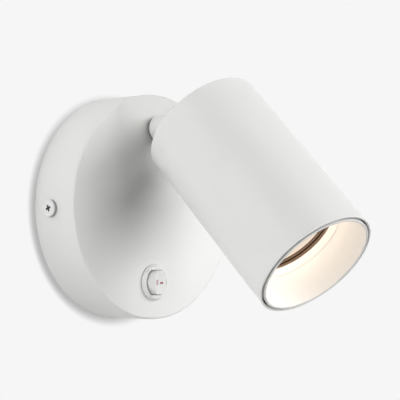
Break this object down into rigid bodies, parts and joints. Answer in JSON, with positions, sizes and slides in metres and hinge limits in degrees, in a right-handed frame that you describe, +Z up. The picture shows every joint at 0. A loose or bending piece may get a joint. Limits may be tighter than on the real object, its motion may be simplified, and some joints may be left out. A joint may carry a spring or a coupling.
{
  "type": "pivoting spotlight wall light",
  "caption": "Round wall canopy with a rocker switch and a cylindrical spotlight head that swivels and tilts on a short arm.",
  "frame": {"origin": "centre of the canopy's back face, on the wall", "axes": "+Z up, +Y into the wall, -Y out into the room, +X to the right as seen from the room"},
  "size_m": [0.1136, 0.1464, 0.1141],
  "materials": {
    "white_paint": "fine-textured matt white powder coat",
    "white_screw": "white painted screw head",
    "zinc_steel": "bright zinc plate",
    "bush_rubber": "black rubber",
    "terminal_plastic": "natural nylon",
    "brass": "plain brass",
    "switch_plastic": "satin white nylon",
    "lead_brown": "brown silicone",
    "lead_blue": "blue silicone",
    "lead_sleeve": "glass-fibre sleeve",
    "nylon": "natural nylon",
    "holder_ceramic": "unglazed steatite",
    "lamp_body_plastic": "white moulded lamp body",
    "pin_nickel": "nickel plate",
    "lamp_ring_metal": "satin warm metal",
    "lamp_lens_glass": "frosted, lit",
    "baffle_plastic": "matt white moulding",
    "spring_steel": "bright spring steel"
  },
  "bodies": {
    "wall_unit": {"wall_plate": "zinc_steel", "canopy": "white_paint", "canopy_screws": "white_screw", "cable_bush": "bush_rubber", "terminal_block": "terminal_plastic", "clamp_screws": "brass", "block_screws": "zinc_steel", "earth_screw": "brass", "earth_washer": "brass", "switch_housing": "switch_plastic", "switch_blades": "brass", "live_lead": "lead_brown", "neutral_lead": "lead_blue", "switched_lead": "lead_brown", "stop_stud": "zinc_steel"},
    "arm": {"arm": "white_paint", "face_washer": "nylon", "stop_washer": "zinc_steel", "wave_washer": "zinc_steel", "lock_nut": "zinc_steel", "arm_leads": "lead_sleeve"},
    "rocker": {"switch_rocker": "switch_plastic"},
    "head": {"head_tube": "white_paint", "rear_cap": "white_paint", "pivot_screw": "zinc_steel", "pivot_nut": "zinc_steel", "friction_washers": "nylon", "holder_bracket": "zinc_steel", "bracket_screws": "zinc_steel", "lampholder": "holder_ceramic", "holder_screws": "zinc_steel", "holder_leads": "lead_sleeve"},
    "lamp": {"lamp_body": "lamp_body_plastic", "lamp_pins": "pin_nickel", "lamp_ring": "lamp_ring_metal", "lamp_lens": "lamp_lens_glass"},
    "baffle": {"baffle": "baffle_plastic", "baffle_clips": "spring_steel"}
  },
  "joints": [
    {"name": "arm_swivel", "type": "hinge", "parent": "wall_unit", "child": "arm", "pos_m": [0, 0, 0.0382], "axis": [0, -1, 0], "range_deg": [-170, 170]},
    {"name": "head_tilt", "type": "hinge", "parent": "arm", "child": "head", "pos_m": [0, -0.0677, 0.0382], "axis": [1, 0, 0], "range_deg": [-44.6, 45.4]},
    {"name": "rocker_press", "type": "hinge", "parent": "wall_unit", "child": "rocker", "pos_m": [-0.0012, -0.025, -0.037], "axis": [0, 0, 1], "range_deg": [-22, 0]},
    {"name": "lamp_twist", "type": "hinge", "parent": "head", "child": "lamp", "pos_m": [0, -0.05851, 0.03814], "axis": [0, -0.712, -0.7022], "range_deg": [0, 20]},
    {"name": "baffle_pull", "type": "slide", "parent": "head", "child": "baffle", "axis": [0, -0.712, -0.7022], "range_m": [0, 0.012]}
  ]
}
